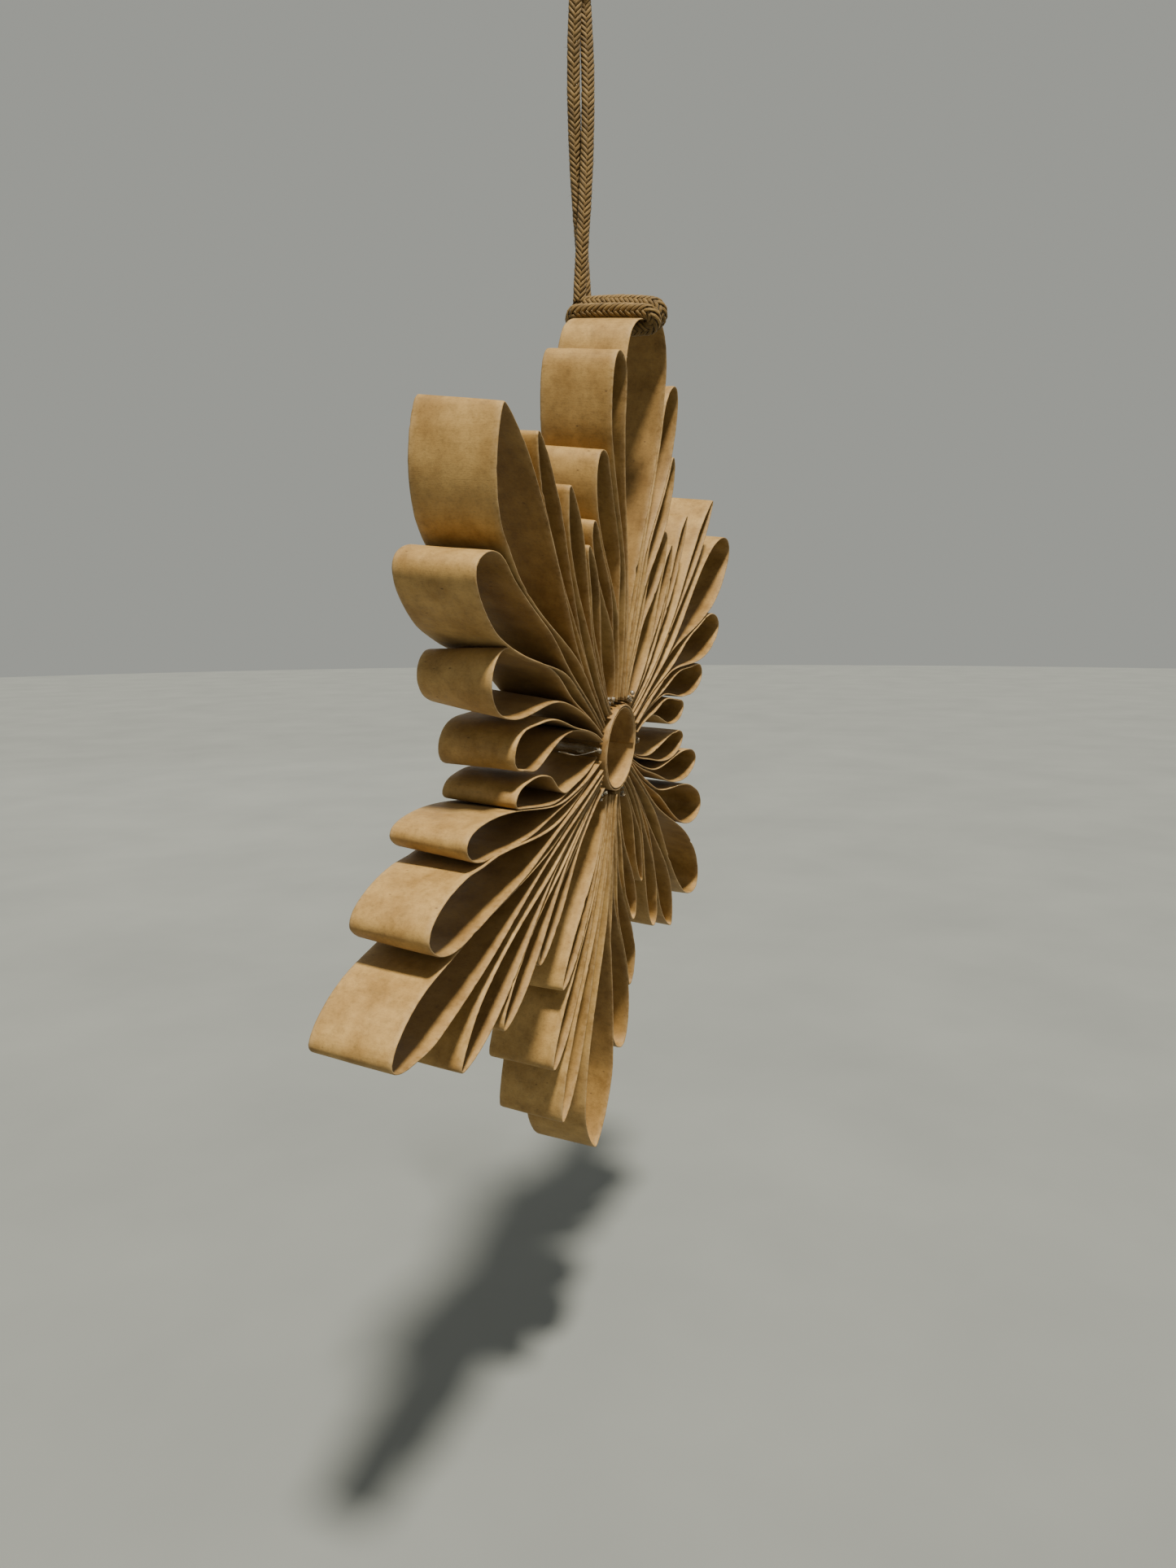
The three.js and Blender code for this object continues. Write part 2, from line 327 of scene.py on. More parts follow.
def arithmetic(tree, operation, first, second):
    node = tree.nodes.new("ShaderNodeMath")
    node.operation = operation
    for socket, value in zip(node.inputs, (first, second)):
        if isinstance(value, (int, float)):
            socket.default_value = value
        else:
            tree.links.new(value, socket)
    return node.outputs[0]


def bump(tree, shader, height, strength, distance):
    node = tree.nodes.new("ShaderNodeBump")
    node.inputs["Strength"].default_value = strength
    node.inputs["Distance"].default_value = distance
    tree.links.new(height, node.inputs["Height"])
    tree.links.new(node.outputs["Normal"], shader.inputs["Normal"])


def darkened(tree, share, base, pattern, stops):
    """The base colour, darkened by this share where the ramped pattern is dark."""
    return mix(tree, share, base, ramp(tree, pattern, stops), "MULTIPLY")


# The colour that the painted shade on the card multiplies it by
PAINTED_SHADE_TINT = (0.66, 0.6, 0.5)
FLECK_BROWN = (0.085, 0.042, 0.016)
WORN_EDGE = (0.46, 0.33, 0.18)


def kraft_material(name, light, dark):
    """Kraft card: mottled pulp, faint lines across the strip, a few dark flecks, worn cut edges,
    painted shade on the inner faces and near the hub.
    """
    material, tree, shader = material_nodes(name)
    place = scaled(tree, attribute_node(tree, "place", "Vector"), IN_MM)
    wear_and_shade = attribute_node(tree, "wear_and_shade", "Fac")
    clouds = noise_node(tree, place, 0.17, 4.0, 0.6)
    blotches = noise_node(tree, place, 0.75, 5.0, 0.65)
    fibres = noise_node(tree, scaled(tree, place, (1.9, 1.0, 1)), 1.7, 4.0, 0.75)
    lines = noise_node(tree, scaled(tree, place, (2.6, 0.07, 1)), 0.9, 3.0, 0.6)
    base = mix(tree, ramp(tree, clouds, [(0.34, 0.0), (0.66, 1.0)]), dark, light)
    base = darkened(tree, 0.55, base, blotches, [(0.3, 0.62), (0.5, 0.93), (0.72, 1.0)])
    base = darkened(tree, 0.5, base, fibres, [(0.28, 0.5), (0.5, 0.93), (0.7, 1.0)])
    base = darkened(tree, 0.16, base, lines, [(0.3, 0.6), (0.48, 1.0), (0.8, 1.0)])
    # Painted shade: the strips' inner faces and the card near the hub are darkened where shade falls
    shade = arithmetic(tree, "MULTIPLY", attribute_node(tree, "shade", "Fac"), 0.85)
    base = mix(tree, shade, base, PAINTED_SHADE_TINT, "MULTIPLY")
    flecks = tree.nodes.new("ShaderNodeTexVoronoi")
    flecks.inputs["Scale"].default_value = 0.34
    tree.links.new(scaled(tree, place, (1.6, 0.8, 1)), flecks.inputs["Vector"])
    spot = ramp(tree, flecks.outputs["Distance"], [(0.0, 1.0), (0.05, 0.8), (0.11, 0.0)])
    few = ramp(tree, noise_node(tree, place, 0.31, 1.0), [(0.5, 0.0), (0.58, 0.85)])
    base = mix(tree, arithmetic(tree, "MULTIPLY", spot, few), base, FLECK_BROWN)
    worn = arithmetic(tree, "MULTIPLY", wear_and_shade, ramp(tree, blotches, [(0.38, 0.1), (0.6, 1.0)]))
    base = mix(tree, arithmetic(tree, "MULTIPLY", worn, 0.42), base, WORN_EDGE)
    tree.links.new(base, shader.inputs["Base Color"])
    tree.links.new(ramp(tree, blotches, [(0.3, 0.52), (0.7, 0.7)]), shader.inputs["Roughness"])
    shader.inputs["Specular IOR Level"].default_value = 0.3
    shader.inputs["Sheen Weight"].default_value = 0.03
    shader.inputs["Sheen Roughness"].default_value = 0.5
    bump(tree, shader, mix(tree, 0.3, fibres, lines), 0.45, 0.09 * MM)
    return material


CORD_LIGHT = (0.325, 0.2, 0.062)
CORD_DARK = (0.155, 0.09, 0.023)
# Painted shade on the yarns where they go under one another and on their sides toward the core
CORD_PAINTED_SHADE = (0.03, 0.016, 0.005)


def cord_material():
    """Braided cord: golden-brown yarns of fine twisted filaments, with painted shade where they go
    under and on their inner sides.

    Of a yarn's place, only the first number is a length; the others are its angle and its yarn.
    """
    material, tree, shader = material_nodes("braided_cord_yarn")
    place = scaled(tree, attribute_node(tree, "place", "Vector"), (1000, 1, 1))
    height = attribute_node(tree, "wear_and_shade", "Fac")
    filaments = noise_node(tree, scaled(tree, place, (0.55, 5.5, 5.0)), 1.6, 3.0, 0.6)
    patches = noise_node(tree, scaled(tree, place, (0.3, 0.2, 9.0)), 0.8, 2.0)
    base = mix(tree, ramp(tree, patches, [(0.3, 0.0), (0.7, 1.0)]), CORD_DARK, CORD_LIGHT)
    base = darkened(tree, 0.85, base, filaments, [(0.34, 0.2), (0.5, 0.75), (0.64, 1.0)])
    # Painted shade where the yarn lies low in the braid
    base = mix(tree, ramp(tree, height, [(0.25, 0.95), (0.9, 0.0)]), base, CORD_PAINTED_SHADE)
    tree.links.new(base, shader.inputs["Base Color"])
    shader.inputs["Roughness"].default_value = 0.6
    shader.inputs["Specular IOR Level"].default_value = 0.3
    shader.inputs["Sheen Weight"].default_value = 0.12
    shader.inputs["Sheen Roughness"].default_value = 0.4
    bump(tree, shader, filaments, 0.9, 0.12 * MM)
    return material


GLUE_LIGHT = (0.5, 0.44, 0.33)
GLUE_DARK = (0.3, 0.22, 0.12)


def glue_material():
    """Hot-melt glue: milky and glossy, with dust and card fibres caught in it."""
    material, tree, shader = material_nodes("hot_melt_glue_clear")
    place = tree.nodes.new("ShaderNodeTexCoord").outputs["Object"]
    cloud = noise_node(tree, place, 700.0, 3.0)
    dust = noise_node(tree, place, 2600.0, 2.0)
    base = mix(tree, ramp(tree, cloud, [(0.35, 0.0), (0.7, 1.0)]), GLUE_DARK, GLUE_LIGHT)
    base = darkened(tree, 0.5, base, dust, [(0.25, 0.35), (0.42, 1.0)])
    tree.links.new(base, shader.inputs["Base Color"])
    shader.inputs["Roughness"].default_value = 0.28
    shader.inputs["Transmission Weight"].default_value = 0.6
    shader.inputs["IOR"].default_value = 1.48
    bump(tree, shader, cloud, 0.3, 0.3 * MM)
    return material


kraft = kraft_material("kraft_card_face", (0.43, 0.268, 0.088), (0.28, 0.16, 0.044))
kraft_roll = kraft_material("kraft_card_roll_face", (0.43, 0.26, 0.088), (0.28, 0.157, 0.044))
yarn = cord_material()
glue = glue_material()


# ---------------------------------------------------------------- braided cord

def braid(name, line, facing, closed=False, fray=0.0, seed=1, size=1.0):
    """A braided cord along `line`, with a column of its V pattern on the side that `facing` looks to.

    `fray` is how far its yarns spread at the line's end, and `size` scales its thickness.
    """
    chance = random.Random(seed)
    tangents, firsts, seconds = frames_along(line, facing)
    along = distances(line)
    pitch = BRAID_PITCH
    if closed:
        whole = along[-1] + np.linalg.norm(line[0] - line[-1])
        pitch = whole / max(round(whole / BRAID_PITCH), 1)
    frayed = np.clip((along - FRAY_START * along[-1]) / ((1 - FRAY_START) * along[-1]), 0, 1) ** 2
    vertices, faces, places, heights = [], [], [], []
    section = [2 * math.pi * side / YARN_SIDES for side in range(YARN_SIDES)]
    for way in (1, -1):
        for number in range(YARNS_EACH_WAY):
            phase = 2 * math.pi * (number + 0.25 * (way > 0)) / YARNS_EACH_WAY
            plump = size * chance.uniform(*YARN_PLUMPNESS)
            splay = chance.uniform(*FRAY_SPLAY)
            own = chance.uniform(0, 1000)
            unevenness = [noise.noise(Vector((place * UNEVEN_PER_METRE, own, 0))) for place in along]
            unevenness = np.array(unevenness)
            if closed:
                unevenness *= np.sin(np.pi * along / along[-1])
            turn = way * (2 * math.pi * along / pitch) + phase
            over = way * np.tanh(CROSSING_SHARPNESS * np.sin(2 * turn))
            orbit = (YARN_ORBIT + YARN_WEAVE * over + YARN_UNEVEN * unevenness) * size
            orbit += fray * splay * frayed
            out = firsts * np.cos(turn)[:, None] + seconds * np.sin(turn)[:, None]
            middle = line + out * orbit[:, None]
            run = unit(np.gradient(middle, axis=0))
            if closed:
                run = unit(np.roll(middle, -1, axis=0) - np.roll(middle, 1, axis=0))
            side_way = unit(np.cross(run, out))
            out = np.cross(side_way, run)
            first = len(vertices)
            for i in range(len(line)):
                for angle in section:
                    reach = out[i] * (YARN_THICK * plump * math.cos(angle))
                    spread = side_way[i] * (YARN_WIDE * plump * math.sin(angle))
                    vertices.append(middle[i] + reach + spread)
                    places.append((along[i], angle / math.pi, number + 0.5 * way))
                    # How high the yarn lies here, which the material turns into painted shade where it
                    # is low
                    heights.append(0.5 + 0.5 * over[i] + 0.25 * math.cos(angle))
            faces += tube_faces(len(line), YARN_SIDES, first, closed)
    add_hairs(vertices, faces, places, heights, line, tangents, firsts, seconds, chance)
    return new_piece(name, vertices, faces, yarn, places, heights)


def add_hairs(vertices, faces, places, heights, line, tangents, firsts, seconds, chance):
    """Loose fibres that stand off the cord."""
    length = np.linalg.norm(np.diff(line, axis=0), axis=1).sum()
    for _ in range(int(length * HAIRS_PER_METRE)):
        i = chance.randrange(HAIR_MARGIN, len(line) - HAIR_MARGIN)
        angle = chance.uniform(0, 2 * math.pi)
        out = firsts[i] * math.cos(angle) + seconds[i] * math.sin(angle)
        around = np.cross(tangents[i], out)
        reach = chance.uniform(*HAIR_REACH) * MM
        slant = chance.uniform(-HAIR_SLANT, HAIR_SLANT) * MM
        swing = chance.uniform(-HAIR_SWING, HAIR_SWING) * MM
        start = line[i] + out * (YARN_ORBIT + 0.1 * MM)
        first = len(vertices)
        for step in range(HAIR_STEPS):
            t = step / (HAIR_STEPS - 1)
            point = start + out * (reach * math.sin(1.3 * t)) + tangents[i] * slant * t
            point = point + around * swing * t * t
            thick = HAIR_THICK * (1 - 0.6 * t)
            for side in range(HAIR_SIDES):
                turn = 2 * math.pi * side / HAIR_SIDES
                across = around * thick * math.cos(turn)
                vertices.append(point + across + tangents[i] * thick * math.sin(turn))
                places.append((0.003 * t, turn, angle))
                heights.append(1.0)
        faces += tube_faces(HAIR_STEPS, HAIR_SIDES, first)


def metres(route):
    """A route's points, turned from mm to metres."""
    return [(x * MM, y * MM, z * MM) for x, y, z in route]


def half_turn(route):
    """The route turned half round the cord's own upright axis."""
    return [(-x, -y, z) for x, y, z in route]


def add_strand(name, node, route, seed):
    """A strand; its braid runs on past its route, up into the knot and down into the hitch."""
    line = run_on(curve_through(metres(route), BRAID_STEP), KNOT_ENTRY)
    piece = braid(name, run_on(line[::-1], HITCH_ENTRY)[::-1], TO_CAMERA, seed=seed)
    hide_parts(node)
    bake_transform(piece)
    return piece, line


def add_hanging_loop():
    """The hanging loop; both of its feet run on past its route, into the knot."""
    line = run_on(curve_through(metres(LOOP_ROUTE), BRAID_STEP), KNOT_ENTRY)
    line = run_on(line[::-1], KNOT_ENTRY)[::-1]
    piece = braid("cord_loop_braid", line, (0, -1, 0), seed=5)
    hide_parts("hanging_loop")
    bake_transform(piece)
    return piece, line


def add_tail(name, node, route, seed):
    """One of the cord's two cut ends, frayed at its tip."""
    line = curve_through(metres(route), BRAID_STEP)
    piece = braid(name, line, (1, 0, 0), fray=TAIL_FRAY, seed=seed)
    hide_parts(node)
    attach(piece, "knot")
    return piece


KNOT_TURNS = 3
KNOT_RISE = 2.5 * MM
KNOT_ORBIT = 3.2 * MM
KNOT_WOBBLE = 0.15 * MM
KNOT_TUCK = 2 * MM
POINTS_PER_TURN = 16
TUCKED_POINTS = 5


def add_knot():
    """The knot: cord wound round both strands, with each of its ends tucked in."""
    points = []
    turns = KNOT_TURNS + 0.5
    steps = int(POINTS_PER_TURN * turns)
    for step in range(steps + 1):
        turn = 2 * math.pi * step / POINTS_PER_TURN - math.pi / 2
        rise = KNOT_RISE * (step / steps - 0.5) * turns
        from_end = min(step, steps - step) / TUCKED_POINTS
        reach = KNOT_ORBIT + KNOT_WOBBLE * math.sin(2.3 * turn)
        reach -= KNOT_TUCK * max(1 - from_end, 0) ** 2
        points.append(KNOT_CENTRE + Vector((reach * math.cos(turn), reach * math.sin(turn), rise)))
    line = curve_through(points, BRAID_STEP)
    piece = braid("cord_knot_braid", line, (0, 0, 1), seed=9)
    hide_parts("cord_knot")
    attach(piece, "knot")
    return piece


# ---------------------------------------------------------------- the star's own axes

star_turn = Matrix.Rotation(LEAN_FORWARD, 3, "X") @ Matrix.Rotation(LEAN_SIDEWAYS, 3, "Y")
star_axes = np.array(star_turn)
hub_low, hub_high = (np.array(corner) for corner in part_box("hub_ring"))
hub_middle = (hub_low + hub_high) / 2
hub_front = hub_middle - star_axes[:, 1] * STRIP_WIDTH / 2


def to_star(points):
    """Points in the star's own axes, from the middle of the hub's front."""
    return (np.array(points, float) - hub_front) @ star_axes


def from_star(points):
    """The opposite of to_star."""
    return np.array(points, float) @ star_axes.T + hub_front


# The hitch is two turns of cord. Each has a run above the card and one below it, placed in mm from
# the hitch's middle as (x, z), each bowed away from the card. The V column looks along `facing`.
HITCH_TURNS = [
    {"name": "cord_hitch_braid", "above": (-3.8, -1.1), "below": (-1.9, -3.9),
     "facing": (-1, -0.1), "bow": 0.2, "seed": 11},
    {"name": "cord_hitch_braid_far", "above": (-1.0, 1.1), "below": (0.9, -2.4),
     "facing": (-0.8, 0.6), "bow": 0.35, "seed": 12},
]
HITCH_STEPS = 10
HITCH_FATNESS = 1.16
HITCH_INSET = 0.3 * MM


def hitch_turn(above, below, bow):
    """One turn of cord round the card, closed on itself."""
    middle = to_star([np.mean(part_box("cord_hitch"), axis=0)])[0]
    half = STRIP_WIDTH / 2 - HITCH_INSET
    above, below = np.array(above) * MM, np.array(below) * MM
    centre, reach = (above + below) / 2, (above - below) / 2
    points = []
    for way, start_angle in ((1, -math.pi / 2), (-1, math.pi / 2)):
        for step in range(HITCH_STEPS + 1):
            angle = start_angle + math.pi * step / HITCH_STEPS
            x, z = centre + reach * math.sin(angle)
            points.append((x, half * way + np.linalg.norm(reach) * math.cos(angle), z))
        for share in (0.5, 0.0, -0.5):
            x, z = centre + reach * way
            points.append((x, share * half * way, z + bow * MM * way * (1 - share * share)))
    line = from_star(np.array(points) + middle)
    line = np.vstack([line, line[:1]])
    return evenly(curve_through(line, 0.2 * MM), BRAID_STEP)[:-1]


def mirrored(facing, above, below):
    """The direction at a turn's lower run that becomes `facing`, an (x, z), at its upper run."""
    reach = unit(np.array(above) - np.array(below))
    x, z = np.array(facing) - 2 * np.dot(facing, reach) * reach
    return (x, 0, z)


def add_hitch():
    """The hitch's two turns; the first stands for the whole hitch of the CAD."""
    pieces = []
    for turn in HITCH_TURNS:
        line = hitch_turn(turn["above"], turn["below"], turn["bow"])
        facing = mirrored(turn["facing"], turn["above"], turn["below"])
        piece = braid(turn["name"], line, facing, True, seed=turn["seed"], size=HITCH_FATNESS)
        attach(piece, "star")
        pieces.append(piece)
    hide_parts("cord_hitch")
    return pieces


def add_cords():
    left, left_line = add_strand("cord_strand_left_braid", "cord_strand_left", STRAND_ROUTE, 2)
    right, right_line = add_strand(
        "cord_strand_right_braid", "cord_strand_right", half_turn(STRAND_ROUTE), 3)
    loop, loop_line = add_hanging_loop()
    tails = [
        add_tail("cord_tail_back_braid", "cord_tail_back", TAIL_ROUTE, 6),
        add_tail("cord_tail_front_braid", "cord_tail_front", half_turn(TAIL_ROUTE), 7),
    ]
    knot = add_knot()
    hitch = add_hitch()


# ---------------------------------------------------------------- card strips

# Steps between points along a strip, and how far the hub's roll stands in front of its true place
LINE_STEP = 0.85 * MM
FINE_STEP = 0.5 * MM
HUB_STEP = 0.6 * MM
HUB_SHIFT = -0.2 * MM

# Places across the strip in mm, from its front edge to its back edge, close together at the edges
PROFILE = [0.0, 0.35, 1.4, 4.5, 8.0, 11.5, 14.6, 15.65, 16.0]

# What is uneven about a strip: its waves, and how far its edges stand back near its glued ends, in mm
WAVE = 0.14
WAVES_PER_METRE = 60
WAVES_PER_MM_ACROSS = 0.09
SHORT_ENDS = 1.7
SHORT_REACH = 14 * MM

# Painted shade: how dark a strip's inner face is painted, and how far from its glued ends, near the
# hub, both faces are painted darker
PAINTED_INNER_SHADE = 0.75
PAINTED_HUB_SHADE_REACH = 22 * MM

# Each loop's own unevenness is drawn from these ranges, in mm
SHIFT = (-0.4, 0.4)
FLARE = (-0.9, 0.9)
SKEW = (-0.7, 0.7)

# Creases: how many on a loop, where as shares of its length, how high in mm, and how wide as a share
CREASES = 2
CREASE_PLACE = (0.33, 0.67)
CREASE_HEIGHT = (-0.45, 0.3)
CREASE_REACH = 0.035

# The hitch presses the top loop's near shoulder down, in mm from the loop's tip
PRESS_DEPTH = 2.3
PRESS_DOWN_TO = 9
PRESS_START = 0.2
PRESS_WIDTH = 4.5

# Loops that the photo shows with one leg drawn to the other: which leg, the shares of that leg
# where it starts and stops closing in, and how much of the gap it closes
DRAWN_IN = {
    "upper_left_arm_left_loop_2": ("first", 0.1, 0.6, 0.5),
    "upper_left_arm_left_loop_3": ("first", 0.25, 0.8, 0.8),
    "lower_left_arm_right_loop_3": ("last", 0.38, 0.56, 0.9),
}
OWN_FLARE = {"upper_left_arm_left_loop_2": -1.8 * MM}

WELD = 1e-6
SQUARE_ON = 0.9


def front_outline(node):
    """The node's outline on the star's front face, as points (x, z) in order round it."""
    mesh = bmesh.new()
    mesh.from_mesh(node.data)
    bmesh.ops.remove_doubles(mesh, verts=mesh.verts, dist=WELD)
    depth_way = Vector(star_axes[:, 1])
    middle = sum(v.co.dot(depth_way) for v in mesh.verts) / len(mesh.verts)
    beside = {}
    for edge in mesh.edges:
        flat = [face for face in edge.link_faces if abs(face.normal.dot(depth_way)) > SQUARE_ON]
        in_front = all(v.co.dot(depth_way) < middle for v in edge.verts)
        if in_front and len(flat) == 1 and len(edge.link_faces) == 2:
            a, b = (v.index for v in edge.verts)
            beside.setdefault(a, []).append(b)
            beside.setdefault(b, []).append(a)
    mesh.verts.ensure_lookup_table()
    start = next(iter(beside))
    ring = [start, beside[start][0]]
    while True:
        following = [v for v in beside[ring[-1]] if v != ring[-2]]
        if following[0] == start:
            break
        ring.append(following[0])
    points = to_star([mesh.verts[index].co for index in ring])[:, [0, 2]]
    mesh.free()
    return points


def middle_line(node):
    """The line midway between a strip's two faces, from one cut end to the other.

    A cut end is a side of the outline as long as the card is thick, with a right angle at each end.
    """
    ring = front_outline(node)
    count = len(ring)
    sides = np.roll(ring, -1, axis=0) - ring
    lengths = np.linalg.norm(sides, axis=1)
    ways = sides / lengths[:, None]
    unlikeness = []
    for i in range(count):
        before, after = ways[i - 1], ways[(i + 1) % count]
        corner = abs(before.dot(ways[i])) + abs(after.dot(ways[i]))
        unlikeness.append(corner + 4 * abs(lengths[i] - CARD) / CARD)
    ends = sorted(np.argsort(unlikeness)[:2])
    half = count // 2
    if ends[1] - ends[0] != half:
        raise ValueError(f"{node.name}: its cut ends weren't found")
    ring = np.roll(ring, -(ends[0] + 1), axis=0)
    return (ring[:half] + ring[half:][::-1]) / 2


def edge_move(place, seed):
    """How far, in mm, a cut edge lies inside its true line at a place along the strip."""
    sway = 0.32 * noise.noise(Vector((place * 28, seed, 3)))
    ragged = 0.06 * noise.noise(Vector((place * 900, seed, 0)))
    nick = max(noise.noise(Vector((place * 330, seed, 7))) - 0.52, 0)
    return sway + ragged + nick


def strip_section():
    """The points round a strip's cross-section: place across it in mm, half thicknesses out, wear."""
    one_face = []
    for j, y in enumerate(PROFILE):
        steps_in = min(j, len(PROFILE) - 1 - j)
        one_face.append((y, 0.5 if steps_in == 0 else 1.0, (1.0, 0.5, 0.0)[min(steps_in, 2)]))
    return one_face + [(y, -thick, wear_and_shade) for y, thick, wear_and_shade in reversed(one_face)]


def strip_mesh(name, line, material, chance, depth_shift, flare=0.0, skew=0.0):
    """A card strip standing on `line`, with worn cut edges, the unevenness of bent card and painted
    shade on its inner face and near its glued ends.

    `flare` opens the loop more at the back than at the front, and `skew` tips its outer end.
    """
    tangents, normals = flat_normals(line)
    along = distances(line)
    seed = chance.uniform(0, 1000)
    openness = np.sin(np.pi * along / along[-1]) ** 2
    short_at_start, short_at_end = chance.uniform(0, SHORT_ENDS), chance.uniform(0, SHORT_ENDS)
    shortness = short_at_start * np.exp(-along / SHORT_REACH)
    shortness += short_at_end * np.exp((along - along[-1]) / SHORT_REACH)
    glued_end_shade = np.clip(1 - np.minimum(along, along[-1] - along) / PAINTED_HUB_SHADE_REACH, 0, 1)
    section = strip_section()
    vertices, places, wears, painted_shades = [], [], [], []
    for i in range(len(line)):
        front_move = edge_move(along[i], seed) + shortness[i]
        back_move = -edge_move(along[i], seed + 50) - 0.5 * shortness[i]
        for y, thick, wear_and_shade in section:
            share = y / PROFILE[-1]
            depth = (y + (1 - share) * front_move + share * back_move) * MM + depth_shift
            spot = Vector((along[i] * WAVES_PER_METRE, y * WAVES_PER_MM_ACROSS, seed))
            wave = WAVE * noise.noise(spot)
            offset = thick * CARD_SEEN / 2 + wave * MM + flare * openness[i] * (share - 0.5)
            point = line[i] + normals[i] * offset + tangents[i] * skew * openness[i] * (share - 0.5)
            vertices.append((point[0], depth, point[1]))
            places.append((along[i], y * MM, seed))
            wears.append(wear_and_shade)
            # Painted shade: on the inner face, and on both faces near the glued ends
            painted_shades.append(max(PAINTED_INNER_SHADE if thick < 0 else 0.0, glued_end_shade[i]))
    faces = tube_faces(len(line), len(section))
    return new_piece(name, from_star(vertices), faces, material, places, wears, painted_shades)


def pressed_by_hitch(line):
    """The top loop's line, pressed down on its near side where the hitch lies on its shoulder."""
    tip = line[np.argmax(line[:, 1])]
    nearness = np.clip(1 - (tip[1] - line[:, 1]) / (PRESS_DOWN_TO * MM), 0, 1)
    aside = np.clip((-PRESS_START * MM - (line[:, 0] - tip[0])) / (PRESS_WIDTH * MM), 0, 1)
    line = line.copy()
    line[:, 1] -= PRESS_DEPTH * MM * nearness * aside
    return line


def outward(line):
    """The loop's line run the way round that puts its normals on the outside."""
    x, z = line[:, 0], line[:, 1]
    area = np.sum(x * np.roll(z, -1) - np.roll(x, -1) * z)
    return line[::-1] if area > 0 else line


def creased(line, chance):
    """The same loop with soft creases in its outer part, where the card didn't bend evenly."""
    along = np.linspace(0, 1, len(line))
    normals = flat_normals(line)[1]
    line = line.copy()
    for _ in range(CREASES):
        place = chance.uniform(*CREASE_PLACE)
        height = chance.uniform(*CREASE_HEIGHT) * MM
        ridge = np.clip(1 - np.abs(along - place) / CREASE_REACH, 0, 1)
        line += normals * (height * ridge)[:, None]
    return line


def drawn_in(line, start, end, share):
    """The loop with its last leg drawn to its first one, from `start` to `end` of that leg."""
    line = line.copy()
    half = len(line) // 2
    legs_apart = line[::-1] - line
    for i in range(len(line) - half, len(line)):
        leg_share = (i - (len(line) - half)) / (half - 1)
        rise = min(max((leg_share - start) / (end - start), 0), 1)
        line[i] += legs_apart[i] * share * rise
    return relaxed(line, 3)


def card_line(name, chance):
    """The line that a loop's strip stands on: the CAD's, with the softness of bent card."""
    line = evenly(curve_through(middle_line(nodes[name]), FINE_STEP), FINE_STEP)
    line = creased(outward(evenly(relaxed(line, 5), LINE_STEP)), chance)
    if name == "top_arm_centre_loop":
        line = pressed_by_hitch(line)
    if name in DRAWN_IN:
        leg, start, end, share = DRAWN_IN[name]
        if leg == "first":
            line = drawn_in(line[::-1], start, end, share)[::-1]
        else:
            line = drawn_in(line, start, end, share)
    return line


def add_loops():
    """The 42 loops, each a strip of its own."""
    chance = random.Random(24)
    for name in sorted(nodes):
        if "_arm_" not in name:
            continue
        line = card_line(name, chance)
        shift = chance.uniform(*SHIFT) * MM
        flare = chance.uniform(*FLARE) * MM
        skew = chance.uniform(*SKEW) * MM
        flare = OWN_FLARE.get(name, flare)
        piece = strip_mesh(name.replace("_loop", "_card_loop"), line, kraft, chance, shift, flare, skew)
        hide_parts(name)
        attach(piece, "star")


def add_hub():
    """The rolled strip in the middle."""
    chance = random.Random(7)
    line = evenly(curve_through(middle_line(nodes["hub_ring"]), FINE_STEP), HUB_STEP)
    piece = strip_mesh("hub_ring_card_roll", line, kraft_roll, chance, HUB_SHIFT)
    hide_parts("hub_ring")
    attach(piece, "star")


# ---------------------------------------------------------------- glue

GLUE_SIDES = 14
GLUE_RINGS = 26
BEAD_LENGTH = 13.5 * MM
BEAD_REACH = 0.95 * MM
DROPS = 4
DROP_OUT = (-0.5, 2.2)
DROP_DEPTH = (0.6, 2.4)
DROP_ASIDE = (-0.9, 0.9)
DROP_REACH = (0.3, 0.75)

# The corner with a web of glue drawn out from it, and how far the web reaches, in mm
WEB_CORNER = 3
WEB_REACH = (-17, 0.4, 0.6)
WEB_DEPTH = 2.2
WEB_THICK = (1.1 * MM, 0.22 * MM)
WEB_SAG = 0.9 * MM
WEB_LUMP = (1.1 * MM, 0.7 * MM, 0.3 * MM)


def ring_angles():
    """The angles of the points round a ring of glue."""
    return [2 * math.pi * side / GLUE_SIDES for side in range(GLUE_SIDES)]


def add_bead(vertices, faces, middle, number):
    """The bead itself: a lumpy rod that runs from front to back, rounded at its ends."""
    for ring in range(GLUE_RINGS):
        t = ring / (GLUE_RINGS - 1)
        reach = BEAD_REACH * math.sin(math.pi * min(max(t, 0.02), 0.98)) ** 0.35
        for angle in ring_angles():
            place = Vector((math.cos(angle), math.sin(angle), t * 5 + number * 7))
            lump = 1 + 0.45 * noise.noise(place)
            x = reach * lump * math.cos(angle)
            z = reach * lump * math.sin(angle)
            vertices.append((middle[0] + x, middle[1] + (t - 0.5) * BEAD_LENGTH, middle[2] + z))
    faces += tube_faces(GLUE_RINGS, GLUE_SIDES)


def add_drop(vertices, faces, middle, reach, seed):
    """A lumpy drop of glue, `reach` giving its half size each way."""
    first = len(vertices)
    rings = GLUE_RINGS // 2
    for ring in range(rings):
        polar = math.pi * (ring + 0.5) / rings
        for angle in ring_angles():
            across = math.sin(polar)
            way = Vector((across * math.cos(angle), math.cos(polar), across * math.sin(angle)))
            lump = 1 + 0.75 * noise.noise(way * 1.9 + Vector((seed, 0, 0)))
            vertices.append([m + r * w * lump for m, r, w in zip(middle, reach, way)])
    faces += tube_faces(rings, GLUE_SIDES, first)


